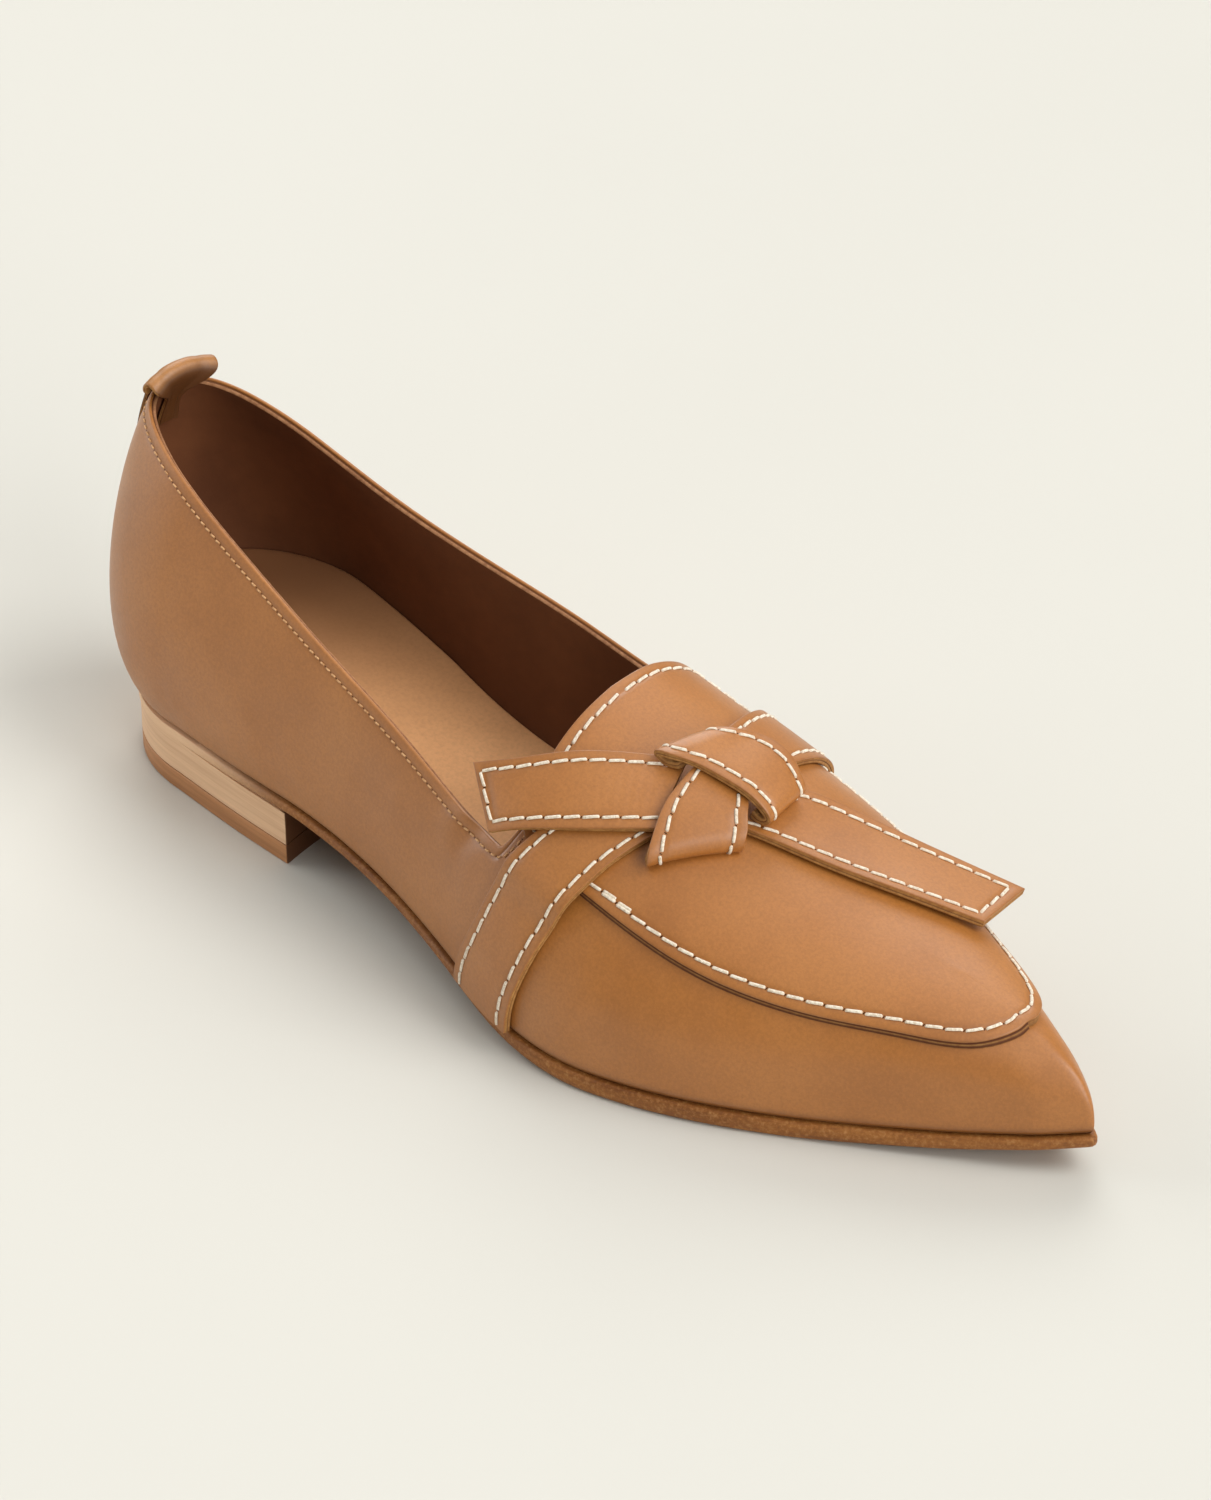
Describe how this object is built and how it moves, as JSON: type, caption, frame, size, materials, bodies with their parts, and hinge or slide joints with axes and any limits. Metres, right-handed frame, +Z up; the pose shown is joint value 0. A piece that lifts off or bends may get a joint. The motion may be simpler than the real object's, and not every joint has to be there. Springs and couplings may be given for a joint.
{
  "type": "loafer",
  "caption": "Right-foot pointed flat loafer in smooth tan leather, with a stitched plug, a knotted flat strap bow, a rolled heel loop and a low stacked heel",
  "frame": {"origin": "on the ground, at the middle of the heel lift's flat underside", "axes": "+X toward the toe, +Y toward the inner side of the right foot, +Z up"},
  "size_m": [0.2758, 0.0911, 0.0883],
  "materials": {
    "upper_leather": "smooth semi-gloss tan calf",
    "lining_leather": "matt dark brown lining",
    "raw_edge": "cut and dyed ochre edge",
    "insole_leather": "matt tan sock",
    "sole_leather": "sanded and waxed sole edge",
    "toplift_leather": "waxed brown lift",
    "stacked_heel": "pale satin, fine horizontal layers",
    "thread": "matt cream thread",
    "thread_tan": "matt tan thread"
  },
  "bodies": {
    "root": {"outsole": "sole_leather", "heel_toplift": "toplift_leather", "heel_block": "stacked_heel", "insole": "insole_leather", "upper": "upper_leather", "apron": "upper_leather", "strap_lateral": "upper_leather", "strap_medial": "upper_leather", "knot_wrap": "upper_leather", "knot_turn": "upper_leather", "bow_tail_back": "upper_leather", "bow_tail_front": "upper_leather", "heel_tab": "upper_leather"}
  },
  "joints": []
}
